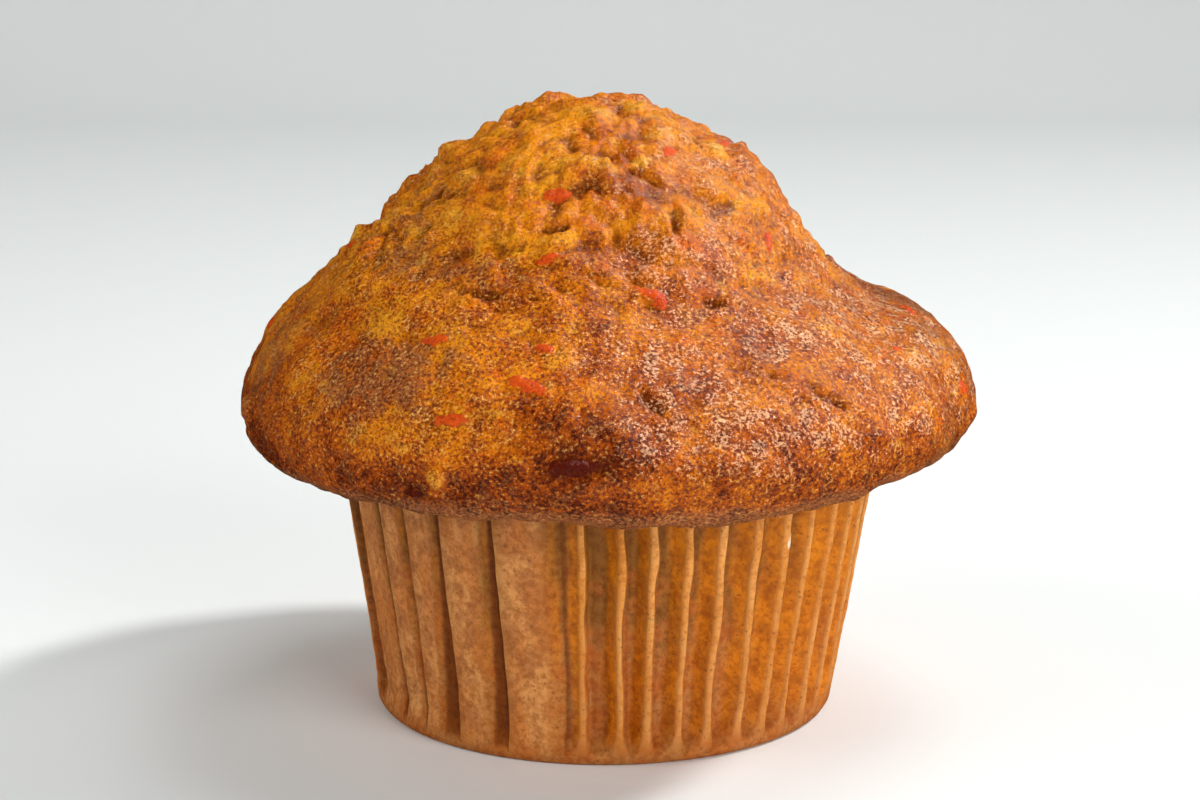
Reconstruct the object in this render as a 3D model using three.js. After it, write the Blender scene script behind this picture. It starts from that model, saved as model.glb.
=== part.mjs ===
// A carrot muffin baked in a pleated paper case, as it stands on a table.
//
// Two separate pieces: the muffin, which is baked as one lump of cake, and the paper
// case that it was baked in and still sits in. The case is a flat round floor with a
// flared wall of pressed pleats. The cake fills the case and has risen over its edge
// into a peaked crown, which overhangs the case all round and is not symmetric: one
// side slopes evenly, and the other has a shoulder below the peak.
//
// Millimetres, +Z up. The origin is the middle of the case's floor, on the table.
// The crown's shouldered side faces +X, and its even slope faces -X.

import * as THREE from "three";

// ---- Driving dimensions -----------------------------------------------------------

const FLOOR_RADIUS = 25; // outside of the pleats where the wall leaves the floor
const WALL_TOP_RADIUS = 30.2; // outside of the pleats at the wall's top edge
const WALL_HEIGHT = 30;
const PAPER = 0.3; // wall of the case; real baking paper is thinner
const FLOOR_BEND = 1; // height over which the floor's edge turns up into the wall
const GAP = 0.35; // clearance between the cake and the paper

const PLEAT_DEPTH_TOP = 1.3; // from the outside of a pleat to the bottom of its groove
const PLEAT_DEPTH_LOW = 0.9;

// Angles round the wall are in degrees. A standing pleat leans, so the side after its
// outer face is steep and the side before it slopes.
const PLEAT_PITCH = 7.8; // from one standing pleat to the next
const PLEAT_FACE = 1.8; // across a standing pleat's outer face
const STEEP_SIDE = 0.9;
const SLOPING_SIDE = 2.7;

// Pleats that were pressed flat: where each one's outer face starts and ends. Only a
// narrow, shallow groove is left between two of them.
const PRESSED_PLEATS = [
  [198.6, 210.6],
  [212, 219.6],
  [221.4, 231.6],
  [232.8, 245.4],
  [246.8, 259.4],
];
const PRESSED_LIFT = 0.5; // height of a groove between them, as a share of pleat depth

const CROWN_COLUMNS = 72;
const CROWN_ROWS = 36;

// The crown's outline from the peak to its underside, as radius and height.
const PEAK_HEIGHT = 67;
const EVEN_SIDE = [
  [3.4, 66.9], [6.8, 66.2], [12.9, 63.5], [18.4, 59.8], [22.8, 55.2], [27.4, 51],
  [31.9, 46.4], [36.8, 41], [39.9, 35.2], [39.4, 31.4], [35, 29.1],
];
const SHOULDERED_SIDE = [
  [3.4, 66.5], [6.5, 65.2], [12.5, 62.4], [17.7, 58.6], [21.3, 53.4], [24.7, 48.8],
  [29.5, 45.1], [36.7, 41.2], [40.3, 35.8], [38.8, 31.4], [35, 29.3],
];

// ---- The case's wall --------------------------------------------------------------

// Radius of the outside of the pleats at a height: the wall is a plain flared cone.
function wallRadius(height) {
  return THREE.MathUtils.lerp(FLOOR_RADIUS, WALL_TOP_RADIUS, height / WALL_HEIGHT);
}

function pleatDepth(height) {
  return THREE.MathUtils.lerp(PLEAT_DEPTH_LOW, PLEAT_DEPTH_TOP, height / WALL_HEIGHT);
}

// The outer faces of the pleats all the way round: the pressed ones, then standing ones
// spread evenly over the rest of the wall.
function pleatFaces() {
  const pressed = PRESSED_PLEATS.map(([start, end]) => ({ start, end, isPressed: true }));
  const firstMiddle = PRESSED_PLEATS.at(-1)[1] + PLEAT_PITCH * 0.75;
  const room = PRESSED_PLEATS[0][0] + 360 - firstMiddle;
  const count = Math.round(room / PLEAT_PITCH);
  const standing = Array.from({ length: count }, (_, i) => {
    const middle = firstMiddle + (i * room) / count;
    return { start: middle - PLEAT_FACE / 2, end: middle + PLEAT_FACE / 2, isPressed: false };
  });
  return [...pressed, ...standing];
}

// Four upright fold lines for each pleat: two bound its outer face and two its groove.
// lift is 1 on the outside of a pleat and 0 in the groove between standing pleats.
function foldLines() {
  const faces = pleatFaces();
  return faces.flatMap(({ start, end, isPressed }, i) => {
    const isLast = i === faces.length - 1;
    const next = isLast ? faces[0] : faces[i + 1];
    const nextStart = next.start + (isLast ? 360 : 0);
    const isBetweenPressed = isPressed && next.isPressed;
    const third = (nextStart - end) / 3;
    const lift = isBetweenPressed ? PRESSED_LIFT : 0;
    const grooveStart = end + Math.min(STEEP_SIDE, third);
    const grooveEnd = nextStart - Math.min(SLOPING_SIDE, third);
    return [
      { azimuth: start, lift: 1 },
      { azimuth: end, lift: 1 },
      { azimuth: grooveStart, lift },
      { azimuth: grooveEnd, lift },
    ].map((fold) => ({ ...fold, azimuth: THREE.MathUtils.degToRad(fold.azimuth) }));
  });
}

// ---- Shapes -----------------------------------------------------------------------

// A closed surface swept round the vertical axis. LatheGeometry joins the faces of
// columns of outline points, and pointAt(column, row) then puts each point in place.
function sweptRound(outlineRows, columns, pointAt) {
  const stub = Array.from({ length: outlineRows }, (_, row) => {
    const onAxis = row === 0 || row === outlineRows - 1;
    return new THREE.Vector2(onAxis ? 0 : 1, row);
  });
  const geometry = new THREE.LatheGeometry(stub, columns);
  const position = geometry.getAttribute("position");
  for (let column = 0; column <= columns; column++) {
    for (let row = 0; row < outlineRows; row++) {
      const { radius, height, azimuth } = pointAt(column % columns, row);
      position.setXYZ(
        column * outlineRows + row,
        radius * Math.cos(azimuth),
        radius * Math.sin(azimuth),
        height,
      );
    }
  }
  geometry.computeVertexNormals();
  return geometry;
}

// The case as one closed sheet: out along the underside of the floor, up the outside
// of the wall, over its top edge, down the inside and back along the floor's top.
function paperCaseGeometry() {
  const folds = foldLines();
  const floorEdge = FLOOR_RADIUS - PLEAT_DEPTH_LOW - 0.6;
  const outside = (height, fold, inset) =>
    wallRadius(height) - pleatDepth(height) * (1 - fold.lift) - inset;
  const outline = [
    () => ({ radius: 0, height: 0 }),
    () => ({ radius: floorEdge, height: 0 }),
    (fold) => ({ radius: outside(FLOOR_BEND, fold, 0), height: FLOOR_BEND }),
    (fold) => ({ radius: outside(WALL_HEIGHT, fold, 0), height: WALL_HEIGHT }),
    (fold) => ({ radius: outside(WALL_HEIGHT, fold, PAPER), height: WALL_HEIGHT }),
    (fold) => ({ radius: outside(FLOOR_BEND, fold, PAPER), height: FLOOR_BEND + PAPER }),
    () => ({ radius: floorEdge - PAPER, height: PAPER }),
    () => ({ radius: 0, height: PAPER }),
  ];
  return sweptRound(outline.length, folds.length, (column, row) => {
    const fold = folds[column];
    return { ...outline[row](fold), azimuth: fold.azimuth };
  });
}

// The muffin's outline on one side, from its underside in the case to the peak. The
// cake in the case is a plain plug that clears the grooves of the pleats, and the
// crown above it follows a smooth curve through that side's points.
function muffinOutline(side) {
  const plugRadius = (height) => wallRadius(height) - pleatDepth(height) - PAPER - GAP;
  const plugBottom = PAPER + GAP;
  const crownFoot = WALL_HEIGHT + GAP;
  const plug = [
    new THREE.Vector2(0, plugBottom),
    new THREE.Vector2(plugRadius(0) - 0.9, plugBottom),
    new THREE.Vector2(plugRadius(FLOOR_BEND + 1), FLOOR_BEND + 1),
    new THREE.Vector2(plugRadius(WALL_HEIGHT), WALL_HEIGHT),
  ];
  const crown = new THREE.SplineCurve([
    new THREE.Vector2(plugRadius(WALL_HEIGHT) + 0.2, crownFoot),
    new THREE.Vector2(WALL_TOP_RADIUS + 0.6, crownFoot),
    ...side.map(([radius, height]) => new THREE.Vector2(radius, height)).reverse(),
    new THREE.Vector2(0, PEAK_HEIGHT),
  ]);
  return [...plug, ...crown.getSpacedPoints(CROWN_ROWS)];
}

// The muffin swept round the axis, easing from one side's outline to the other's.
function muffinGeometry() {
  const even = muffinOutline(EVEN_SIDE);
  const shouldered = muffinOutline(SHOULDERED_SIDE);
  return sweptRound(even.length, CROWN_COLUMNS, (column, row) => {
    const azimuth = (column / CROWN_COLUMNS) * 2 * Math.PI;
    const towardsShoulder = (1 + Math.cos(azimuth)) / 2;
    const point = even[row].clone().lerp(shouldered[row], towardsShoulder);
    return { radius: Math.max(point.x, 0), height: point.y, azimuth };
  });
}

// ---- The object -------------------------------------------------------------------

function piece(name, geometry, color, roughness) {
  const material = new THREE.MeshStandardMaterial({ color, roughness, metalness: 0 });
  const mesh = new THREE.Mesh(geometry, material);
  mesh.name = name;
  return mesh;
}

const muffinInCase = new THREE.Group();
muffinInCase.add(
  piece("paper_case", paperCaseGeometry(), 0xc07a3a, 0.6),
  piece("muffin", muffinGeometry(), 0xb5651d, 0.5),
);

export default muffinInCase;
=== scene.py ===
import itertools
import math
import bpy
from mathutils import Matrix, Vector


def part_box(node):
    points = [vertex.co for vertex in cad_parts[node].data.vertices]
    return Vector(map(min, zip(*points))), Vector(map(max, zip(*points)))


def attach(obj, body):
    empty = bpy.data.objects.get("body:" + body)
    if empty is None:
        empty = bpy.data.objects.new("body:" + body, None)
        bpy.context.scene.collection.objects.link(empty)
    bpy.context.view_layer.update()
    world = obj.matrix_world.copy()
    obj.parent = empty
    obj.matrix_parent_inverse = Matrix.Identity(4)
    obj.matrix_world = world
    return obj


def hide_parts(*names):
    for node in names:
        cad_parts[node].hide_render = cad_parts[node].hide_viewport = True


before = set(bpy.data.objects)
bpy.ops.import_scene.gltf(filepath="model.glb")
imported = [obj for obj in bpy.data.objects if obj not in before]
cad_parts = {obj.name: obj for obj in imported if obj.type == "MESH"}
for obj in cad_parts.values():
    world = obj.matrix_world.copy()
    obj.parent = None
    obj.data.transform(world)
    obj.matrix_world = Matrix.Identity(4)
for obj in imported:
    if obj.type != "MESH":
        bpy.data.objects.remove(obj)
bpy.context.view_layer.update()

from types import SimpleNamespace

import bpy
import numpy as np
from mathutils import Matrix

bl_info = {
    "name": "Muffin in a Paper Case",
    "version": (1, 0, 0),
    "blender": (4, 5, 0),
    "location": "3D View > Sidebar > Muffin",
    "description": "Builds a carrot muffin, the pleated paper case it was baked in and a studio",
    "category": "Add Mesh",
}

# Shapes are worked out in millimetres and put into the meshes in metres. +Z is up, the
# front is -Y, and azimuths are in degrees, from +X anticlockwise as seen from above.
MM = 0.001

CASE_CORNER, CAKE_CORNER = (np.array(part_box(node)[1]) / MM for node in ("paper_case", "muffin"))
CASE_MOUTH_RADIUS = float(CASE_CORNER[0])
CASE_HEIGHT = float(CASE_CORNER[2])
PEAK_HEIGHT = float(CAKE_CORNER[2])

# ---- Random fields ----

# Each field takes its points, the size of its lumps in millimetres and a seed.
TABLE = 48  # random values along each side of a repeating block


def ease(part):
    """Smooth step: 3t^2 - 2t^3 of t, kept between 0 and 1."""
    part = np.clip(part, 0, 1)
    return part * part * (3 - 2 * part)


def between(value, low, high):
    """Smooth step of value from 0 at low to 1 at high."""
    return ease((value - low) / (high - low))


def smooth_noise(points, size, seed):
    """Gradient noise from about -1 to 1. Space is cut into cubes of the given size, each
    cube corner has a random slope, and a point takes the corners' slopes times its
    distances from them, faded from corner to corner by 6t^5 - 15t^4 + 10t^3."""
    rng = np.random.default_rng(seed)
    slopes = rng.normal(size=(TABLE, TABLE, TABLE, 3))
    slopes /= np.linalg.norm(slopes, axis=-1, keepdims=True)
    scaled = points / size
    cube = np.floor(scaled).astype(int)
    part = scaled - cube
    fade = part ** 3 * (part * (part * 6 - 15) + 10)
    total = np.zeros(points.shape[:-1])
    for corner in itertools.product((0, 1), repeat=3):
        x, y, z = np.moveaxis((cube + corner) % TABLE, -1, 0)
        weight = np.prod(np.where(corner, fade, 1 - fade), axis=-1)
        total += weight * ((part - corner) * slopes[x, y, z]).sum(-1)
    return total * 1.5


def layered_noise(points, size, seed, layers=3):
    """Sum of gradient noises, each half the size and half the height of the last."""
    return sum(
        smooth_noise(points, size / 2 ** layer, seed + layer) / 2 ** layer
        for layer in range(layers)
    )


def lumps(points, size, seed):
    """One random centre in each cube of the given size. Returns the distances to the
    nearest and second nearest centres, in sizes, and a random number of the nearest."""
    rng = np.random.default_rng(seed)
    centres = rng.random((TABLE, TABLE, TABLE, 3))
    numbers = rng.random((TABLE, TABLE, TABLE))
    scaled = points / size
    cube = np.floor(scaled).astype(int)
    nearest = np.full(points.shape[:-1], 9.0)
    second = nearest.copy()
    number = np.zeros(points.shape[:-1])
    for step in itertools.product((-1, 0, 1), repeat=3):
        home = cube + step
        x, y, z = np.moveaxis(home % TABLE, -1, 0)
        away = np.linalg.norm(home + centres[x, y, z] - scaled, axis=-1)
        closer = away < nearest
        second = np.where(closer, nearest, np.minimum(second, away))
        number = np.where(closer, numbers[x, y, z], number)
        nearest = np.where(closer, away, nearest)
    return nearest, second, number


def billows(points, size, seed):
    """Soft lumps with creases between them: the square root of a gradient noise's square
    plus a little, which rounds the creases, less its mean."""
    return np.sqrt(smooth_noise(points, size, seed) ** 2 + 0.03) - 0.31


def warped(points, size, reach, seed):
    """Points pushed about by three gradient noises, by up to the given reach."""
    pushes = [smooth_noise(points, size, seed + axis) for axis in range(3)]
    return points + reach * np.stack(pushes, axis=-1)


# ---- Meshes ----


def stacked(*parts):
    """Arrays spread to one shape and joined along a new last axis."""
    return np.stack(np.broadcast_arrays(*parts), axis=-1)


def round_axis(radius, azimuth, height):
    """Points at a radius, an azimuth in radians and a height."""
    return stacked(radius * np.cos(azimuth), radius * np.sin(azimuth), height)


def run_along(curve):
    """Distance along a curve to each of its points."""
    return np.concatenate([[0], np.cumsum(np.linalg.norm(np.diff(curve, axis=0), axis=1))])


def points_at(curve, distances):
    """Points of a curve at the given distances along it."""
    run = run_along(curve)
    return np.column_stack([np.interp(distances, run, curve[:, k]) for k in (0, 1)])


def smooth_curve(corners, count):
    """Evenly spaced points on a smooth curve through the corners. Between two corners it
    is the cubic that meets both with slopes taken from their neighbours."""
    corners = np.array(corners, float)
    steps = np.linalg.norm(np.diff(corners, axis=0), axis=1)
    knots = np.concatenate([[0], np.cumsum(np.sqrt(steps))])
    slopes = np.gradient(corners, knots, axis=0)
    at = np.linspace(0, knots[-1], 40 * len(corners))
    piece = np.clip(np.searchsorted(knots, at, side="right") - 1, 0, len(knots) - 2)
    width = np.diff(knots)[piece][:, None]
    part = (at - knots[piece])[:, None] / width
    curve = (
        (2 * part ** 3 - 3 * part ** 2 + 1) * corners[piece]
        + (part ** 3 - 2 * part ** 2 + part) * width * slopes[piece]
        + (3 * part ** 2 - 2 * part ** 3) * corners[piece + 1]
        + (part ** 3 - part ** 2) * width * slopes[piece + 1]
    )
    return points_at(curve, np.linspace(0, run_along(curve)[-1], count))


def smooth_mesh(name, points, faces):
    """A smooth-shaded mesh of points that are given in millimetres."""
    mesh = bpy.data.meshes.new(name)
    mesh.from_pydata((points * MM).tolist(), [], faces)
    mesh.polygons.foreach_set("use_smooth", np.ones(len(mesh.polygons), bool))
    mesh.update()
    return mesh


def ring_mesh(name, rings, low_pole=None, high_pole=None):
    """A mesh of rings of points that close on themselves, each joined to the next by
    quads, with a fan of triangles to a pole at either end. Rings run upwards on a
    surface that faces away from the axis, and columns run anticlockwise."""
    count, columns = rings.shape[:2]
    points = rings.reshape(-1, 3)
    column = np.arange(columns)
    following = (column + 1) % columns
    row = np.arange(count - 1)[:, None] * columns
    quads = np.stack(
        [row + column, row + following, row + columns + following, row + columns + column],
        axis=-1,
    ).reshape(-1, 4)
    faces = quads.tolist()
    for pole, first, order in ((low_pole, 0, -1), (high_pole, (count - 1) * columns, 1)):
        if pole is not None:
            points = np.vstack([points, pole])
            rim = np.column_stack([column, following][::order]) + first
            faces += np.column_stack([np.full(columns, len(points) - 1), rim]).tolist()
    return smooth_mesh(name, points, faces)


def set_attribute(mesh, name, values, low_pole=None, high_pole=None):
    """Stores one number for each point of a ring_mesh, and for its poles."""
    poles = [value for value in (low_pole, high_pole) if value is not None]
    attribute = mesh.attributes.new(name, "FLOAT", "POINT")
    attribute.data.foreach_set("value", np.concatenate([values.ravel(), poles]))


def surface_normals(rings):
    """Unit normals of a grid of rings, from its differences along and around."""
    along = np.gradient(rings, axis=0)
    around = np.roll(rings, -1, axis=1) - np.roll(rings, 1, axis=1)
    normals = np.cross(around, along)
    return normals / np.maximum(np.linalg.norm(normals, axis=-1, keepdims=True), 1e-9)


def show(mesh, material, node=None):
    """Puts a finished mesh into the scene. A piece of the object takes the place of its
    CAD node, and the stage stands for nothing."""
    mesh.materials.append(material)
    piece = bpy.data.objects.new(mesh.name, mesh)
    bpy.context.scene.collection.objects.link(piece)
    if node is None:
        return piece
    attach(piece, "root")
    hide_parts(node)
    return piece


# ---- Materials ----


def new_material(name):
    """A material, its node tree and its shader."""
    material = bpy.data.materials.new(name)
    material.use_nodes = True
    return material, material.node_tree, material.node_tree.nodes["Principled BSDF"]


def set_inputs(node, inputs):
    """Gives each input of a node a value or another node's output."""
    for socket, value in inputs.items():
        if isinstance(value, bpy.types.NodeSocket):
            node.id_data.links.new(value, node.inputs[socket])
        else:
            node.inputs[socket].default_value = value


def add_node(tree, kind, inputs, **settings):
    """Adds a node, sets it up and fills its inputs."""
    made = tree.nodes.new(kind)
    for name, value in settings.items():
        setattr(made, name, value)
    set_inputs(made, inputs)
    return made


def attribute(tree, name):
    """What a mesh holds under a name, at each point."""
    return add_node(tree, "ShaderNodeAttribute", {}, attribute_name=name).outputs["Fac"]


def noise(tree, grain, detail=2.0, roughness=0.5, squash=None):
    """Blender's noise on Object coordinates. The grain is its size in metres, and the
    squash shortens it along each axis."""
    place = add_node(tree, "ShaderNodeTexCoord", {}).outputs["Object"]
    if squash:
        squashed = add_node(tree, "ShaderNodeMapping", {"Vector": place, "Scale": squash})
        place = squashed.outputs["Vector"]
    inputs = {"Vector": place, "Scale": 1 / grain, "Detail": detail, "Roughness": roughness}
    return add_node(tree, "ShaderNodeTexNoise", inputs).outputs["Fac"]


def grains(tree, grain, bend):
    """Rounded grains packed side by side, 1 at each one's middle and 0 between, and a
    random number for each grain. Noise of the same size bends their edges."""
    place = add_node(tree, "ShaderNodeTexCoord", {}).outputs["Object"]
    wander = add_node(tree, "ShaderNodeTexNoise", {"Vector": place, "Scale": 1 / grain})
    inputs = {0: wander.outputs["Color"], 1: (bend * grain,) * 3, 2: place}
    pushed = add_node(tree, "ShaderNodeVectorMath", inputs, operation="MULTIPLY_ADD")
    inputs = {"Vector": pushed.outputs["Vector"], "Scale": 1 / grain}
    made = add_node(tree, "ShaderNodeTexVoronoi", inputs)
    return ranged(made.outputs["Distance"], 0, 0.8, 1, 0), made.outputs["Color"]


def ranged(value, low, high, to_low=0.0, to_high=1.0):
    """Smooth step of a value from low to high, to the other two numbers."""
    inputs = {"Value": value, "From Min": low, "From Max": high, "To Min": to_low, "To Max": to_high}
    kind = "ShaderNodeMapRange"
    made = add_node(value.id_data, kind, inputs, interpolation_type="SMOOTHSTEP")
    return made.outputs["Result"]


def combined(operation, first, second):
    """Two values put through an operation of Blender's Math node."""
    inputs = {0: first, 1: second}
    made = add_node(first.id_data, "ShaderNodeMath", inputs, operation=operation)
    return made.outputs["Value"]


def added(first, second):
    """The sum of two values."""
    return combined("ADD", first, second)


def times(first, second):
    """The product of two values."""
    return combined("MULTIPLY", first, second)


def ragged(name, layer, low, high, reach):
    """What a mesh holds under a name, plus a noise eased to between -reach and reach."""
    return added(attribute(layer.id_data, name), ranged(layer, low, high, -reach, reach))


def mixed(share, first, second, blend="MIX"):
    """Colour first with a share of colour second blended over it."""
    inputs = {0: share, 6: first, 7: second}
    for socket in (6, 7):
        if not isinstance(inputs[socket], bpy.types.NodeSocket):
            inputs[socket] = (*inputs[socket], 1)
    kind = "ShaderNodeMix"
    made = add_node(share.id_data, kind, inputs, data_type="RGBA", blend_type=blend)
    return made.outputs[2]


def painted(colour, coats):
    """A colour with several coats over it, each a share and a colour."""
    for share, coat in coats:
        colour = mixed(share, colour, coat)
    return colour


def bumped(height, distance, strength=1.0, **under):
    """A normal tilted by the slope of a height, whose full range is a distance in metres.
    It can lie over another bump, given as Normal."""
    inputs = {"Height": height, "Distance": distance, "Strength": strength, **under}
    return add_node(height.id_data, "ShaderNodeBump", inputs).outputs["Normal"]


# ---- The cake ----

# The crown's outline from its underside to the peak, as radius and height, on the side
# that slopes evenly (-X) and on the side with a shoulder (+X).
EVEN_SIDE = (
    (35, 29.1), (39.4, 31.2), (39.9, 35.2), (37.1, 41), (32.5, 46.4), (28.1, 51),
    (23.2, 55.2), (18.4, 59.8), (13.7, 63.5), (7.9, 66.2), (3.8, 66.9),
)
SHOULDERED_SIDE = (
    (35, 29.1), (39.6, 31.5), (40.4, 35.8), (37.0, 41.2), (30.3, 45.2), (25.0, 48.8),
    (21.3, 53.4), (17.7, 58.6), (12.5, 62.4), (6.5, 65.2), (3.4, 66.5),
)

# What shows in the crust at the front. Each row starts with a place: azimuth, height,
# length, width and turn from level, anticlockwise as seen from outside. First the shreds
# of carrot.
FRONT_SHREDS = (
    (254.5, 59.6, 3.4, 1.3, 8),
    (280.5, 50.6, 4, 1.7, -35),
    (258, 43.1, 4.6, 1.6, -18),
    (237.5, 46.3, 3.2, 1.2, 12),
    (259, 46.2, 2.6, 1, -8),
    (303, 62.9, 2.8, 1.3, 30),
    (323.5, 53.7, 2.6, 1, 60),
    (333, 42.9, 2.4, 0.9, 0),
    (247, 39.8, 4.2, 1.3, 5),
    (256, 53.6, 3, 1.2, 20),
)
# Pits and slits, and how deep each is.
FRONT_PITS = (
    (278, 41.9, 3.8, 1.3, -55, 2),
    (280, 43.2, 2.6, 0.8, 35, 0.7),
    (306.5, 41.2, 8, 1.5, -38, 2.2),
    (297, 43.6, 5.2, 1.2, -30, 1.4),
    (257.5, 56.4, 2.6, 1.3, 25, 2.2),
    (242, 50.6, 4.4, 1.3, 5, 1.7),
    (254.5, 50.2, 3, 1.3, -10, 1.9),
    (288.5, 45.9, 1.6, 0.9, 0, 0.7),
    (291.5, 56.7, 4, 1.1, 80, 1.8),
    (297, 49.6, 4.6, 1.2, -12, 1.6),
    (282.5, 60.6, 5.6, 2.6, -40, 1.1),
    (258, 32.6, 9, 0.9, 4, 0.8),
    (249, 32.8, 6, 0.7, -3, 0.6),
    (271, 32, 6, 0.8, 2, 0.6),
    (283, 32.2, 5, 0.7, 3, 0.5),
    (204, 58.4, 4.4, 1.2, 70, 1.3),
    (214, 59, 3, 0.9, 80, 0.9),
)
# Berries half sunk in the crust.
FRONT_BERRIES = (
    (266, 36.2, 7, 1.9, 4),
    (241.5, 32.4, 2.4, 1.4, 0),
)
# Lumps: how far each stands out of the crust, and how much paler it is.
FRONT_CHUNKS = (
    (245.5, 34.2, 2.6, 2, -20, 0.4, 0.6),
    (213.5, 60.6, 4.6, 3.4, 10, 0.3, 0.6),
    (196, 55, 4.2, 3, 40, 0.7, 0.4),
    (311.5, 66.2, 3.2, 2.4, 0, 0.9, 0.8),
    (197, 35.4, 3, 3.4, 0, 0.7, 0),
    (268, 62, 4.6, 2.6, 0, 0.4, 0.6),
    (286, 62.4, 2.4, 1.4, 20, 0.3, 1),
    (259, 66, 6, 3.4, 10, 0.3, 0.5),
    (262, 45.2, 4.6, 3.6, 0, 0.15, 0.5),
    (225, 46.6, 6, 3, 15, 0.1, 0.5),
)
# Wide patches: how much browner each is than the crust round it, and how dusky.
# The dusky share is purplish crust, and painted sheen in the rows marked below.
FRONT_PATCHES = (
    (232, 42.8, 20, 11, 8, 0.12, 0.9),
    (218, 52.6, 20, 6, 6, 0.10, 0.7),
    (246, 52, 13, 5, 0, 0.20, 0.5),
    (266, 35.6, 14, 5, 3, 0.32, 0),
    (250, 32, 26, 5, 0, 0.06, 0.2),
    (283, 60, 8, 4, -40, 0.25, 0.5),
    (256, 44, 26, 9, 0, -0.07, 0),
    (243, 38, 24, 8, 0, -0.20, 0),
    (285, 47, 14, 6, 0, -0.07, 0),
    (272, 54, 12, 5, 0, 0.06, 0.2),
    # Painted sheen: these three rows paint a hazy mauve at the crown's left and right edges.
    (196, 41, 16, 16, 0, 0, 0.6),
    (203, 56, 10, 14, 0, 0, 0.5),
    (352, 42, 16, 14, 0, 0, 0.6),
    (265, 40, 20, 8, 0, 0.20, 0),
    (283, 39, 18, 8, 0, -0.12, 0),
    (300, 44, 22, 9, 0, 0.10, 0.1),
)


CAKE_BOTTOM = 0.45  # height of the cake's underside inside the case
GROOVE_CLEARANCE = 1.3  # from the pleats' even depth in to the cake
EDGE_CLEARANCE = 0.3  # from the case's top edge up to the crown
UNDERSIDE = 9  # length along the crown's outline from the plug to the rim
LEDGE_HEIGHT = 50  # where the rough cap meets the smooth brim


def crown_outline(side, settings):
    """Points up the crown's outline: the step over the case's edge, then one side."""
    foot = CASE_HEIGHT + EDGE_CLEARANCE
    edge = [(plug_radius(CASE_HEIGHT) + 0.3, foot), (CASE_MOUTH_RADIUS + 0.7, foot)]
    curve = smooth_curve([*edge, *side, (0, PEAK_HEIGHT)], 900)
    underside = np.linspace(0, UNDERSIDE, settings.underside_rows, endpoint=False)
    top = np.linspace(UNDERSIDE, run_along(curve)[-1], settings.crown_rows + 1)[:-1]
    return points_at(curve, np.concatenate([underside, top]))


def plug_radius(height):
    """Radius of the cake inside the case, which clears even the deepest grooves."""
    case = bpy.context.scene.muffin_case
    return case_radius(height) - case.pleat_depth / MM - GROOVE_CLEARANCE


def local_oval(rings, normals, azimuth, height, length, width, turn):
    """Distance from a place on the surface in ovals: 1 on the edge of an oval of the
    given length and width, centred at an azimuth and height, turned about the normal.
    Points more than 3 mm off the oval's plane are outside it."""
    angle = math.radians(azimuth)
    radial = np.array([math.cos(angle), math.sin(angle)])
    flat = rings[..., :2] @ radial
    aside = np.abs(np.cross(rings[..., :2], radial))
    miss = np.where(flat > 0, aside, np.inf) + np.abs(rings[..., 2] - height)
    row, column = np.unravel_index(np.argmin(miss), miss.shape)
    centre = rings[row, column]
    normal = normals[row, column]
    level = np.array([-math.sin(angle), math.cos(angle), 0])
    upward = np.cross(normal, level)
    offset = rings - centre
    across = offset @ level
    along = offset @ upward
    turned = math.radians(turn)
    first = across * math.cos(turned) + along * math.sin(turned)
    second = along * math.cos(turned) - across * math.sin(turned)
    depth = offset @ normal
    return np.sqrt((2 * first / length) ** 2 + (2 * second / width) ** 2 + (depth / 3) ** 2)


def scattered(seed, count, *ranges):
    """Random places away from the front, each an azimuth and a number from each range."""
    rng = np.random.default_rng(seed)
    spans = np.array([(-25, 185), *ranges], float)
    return rng.uniform(spans[:, 0], spans[:, 1], (count, len(spans))).tolist()


def crust_features():
    """Every shred, pit, berry, lump and patch: the front's, then seeded ones elsewhere.
    Those are given by a seed, a count and the range of each number after the azimuth."""
    turn = (-60, 60)
    elsewhere = (
        (31, 16, (36, 63), (2.4, 4.6), (0.9, 1.6), turn),
        (32, 26, (31, 63), (1.6, 5), (0.7, 1.3), turn, (0.5, 1.4)),
        (33, 4, (34, 50), (2.4, 6), (1.3, 1.9), (-20, 20)),
        (34, 16, (42, 65), (2.4, 6), (1.8, 4), turn, (0.2, 0.8), (0, 0.9)),
        (35, 14, (33, 60), (10, 24), (5, 11), (-15, 15), (-0.15, 0.3), (-0.5, 1)),
    )
    front = (FRONT_SHREDS, FRONT_PITS, FRONT_BERRIES, FRONT_CHUNKS, FRONT_PATCHES)
    return [[*seen, *scattered(*spread)] for seen, spread in zip(front, elsewhere)]


def cake_rings(settings):
    """The cake before its crust is roughened, as rings of points from the middle of its
    underside up to the peak: r and z are a blend of the two sides' outlines, with a
    share of (1 + cos azimuth) / 2 of the shouldered one."""
    columns = settings.columns
    azimuth = np.arange(columns) * 2 * np.pi / columns
    shoulder = ((1 + np.cos(azimuth)) / 2)[None, :, None]
    even = crown_outline(EVEN_SIDE, settings)[:, None]
    shouldered = crown_outline(SHOULDERED_SIDE, settings)[:, None]
    crown = even * (1 - shoulder) + shouldered * shoulder
    foot = [(radius, CAKE_BOTTOM) for radius in (6, 12, 18, 22.4)]
    plug = [(plug_radius(height), height) for height in np.linspace(2, CASE_HEIGHT, 11)]
    lower = np.array([*foot, *plug])[:, None] + np.zeros((1, columns, 1))
    outline = np.concatenate([lower, crown])
    return round_axis(outline[..., 0], azimuth, outline[..., 1]), len(lower)


def rightward(rings):
    """The cosine of each point's azimuth, which fades to 0 within 1 mm of the axis."""
    return rings[..., 0] / np.maximum(np.linalg.norm(rings[..., :2], axis=-1), 1)


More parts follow.
